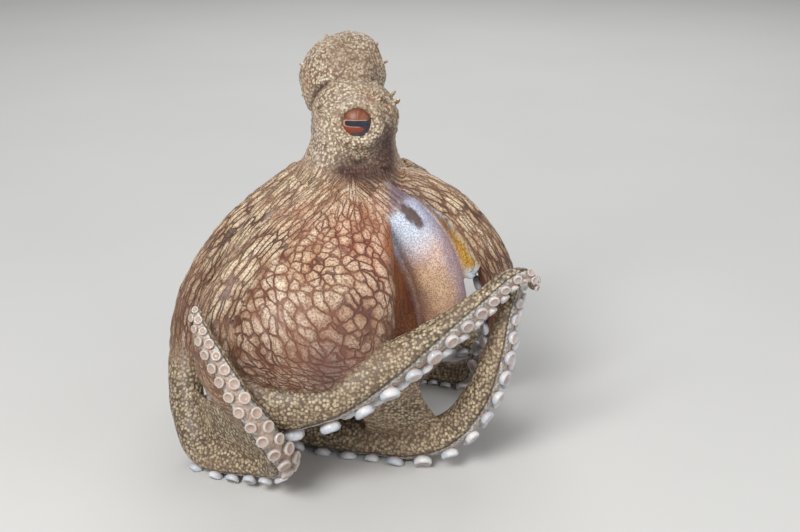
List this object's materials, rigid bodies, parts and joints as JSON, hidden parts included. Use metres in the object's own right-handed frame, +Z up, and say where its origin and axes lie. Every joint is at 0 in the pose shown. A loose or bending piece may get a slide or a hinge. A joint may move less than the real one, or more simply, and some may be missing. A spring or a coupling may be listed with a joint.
{
  "type": "coconut octopus model",
  "caption": "Life-size still model of a coconut octopus resting on its arms, front web spread and two arms raised to one side.",
  "frame": {"origin": "on the floor, under the middle of the whole animal", "axes": "+Z up; -Y toward the side seen in the picture, with the right eye; +X to the right of the picture, the side of the first pair of arms"},
  "size_m": [0.1508, 0.1851, 0.1661],
  "materials": {
    "arm_skin": "soft matt skin, olive brown with pale spots and pale suckers",
    "web_skin": "soft matt skin, cream cells netted with dark red-brown lines",
    "head_skin": "soft matt skin, cream and brown, warty",
    "mantle_skin": "soft matt skin, cream beige, warty",
    "eye": "wet gloss, orange-red iris with a dark slit pupil",
    "beak": "dark horn"
  },
  "bodies": {
    "root": {"arm_left_1_middle": "arm_skin", "arm_left_1_tip": "arm_skin", "arm_left_1_upper": "arm_skin", "arm_left_2_middle": "arm_skin", "arm_left_2_tip": "arm_skin", "arm_left_2_upper": "arm_skin", "arm_left_3_middle": "arm_skin", "arm_left_3_tip": "arm_skin", "arm_left_3_upper": "arm_skin", "arm_left_4_bend": "arm_skin", "arm_left_4_lower": "arm_skin", "arm_left_4_tip": "arm_skin", "arm_left_4_upper": "arm_skin", "arm_right_1_middle": "arm_skin", "arm_right_1_tip": "arm_skin", "arm_right_1_upper": "arm_skin", "arm_right_2_middle": "arm_skin", "arm_right_2_tip": "arm_skin", "arm_right_2_upper": "arm_skin", "arm_right_3_bend": "arm_skin", "arm_right_3_lower": "arm_skin", "arm_right_3_tip": "arm_skin", "arm_right_3_upper": "arm_skin", "arm_right_4_bend": "arm_skin", "arm_right_4_lower": "arm_skin", "arm_right_4_tip": "arm_skin", "arm_right_4_upper": "arm_skin", "beak": "beak", "eye_left": "eye", "eye_right": "eye", "funnel": "head_skin", "head": "head_skin", "mantle": "mantle_skin", "web_fold_left": "web_skin", "web_fold_right": "web_skin", "web_left_1_2": "web_skin", "web_left_1_right_1": "web_skin", "web_left_2_3": "web_skin", "web_left_3_4": "web_skin", "web_right_1_2": "web_skin", "web_right_2_3": "web_skin", "web_right_3_4": "web_skin", "web_right_4_left_4": "web_skin"}
  },
  "joints": []
}
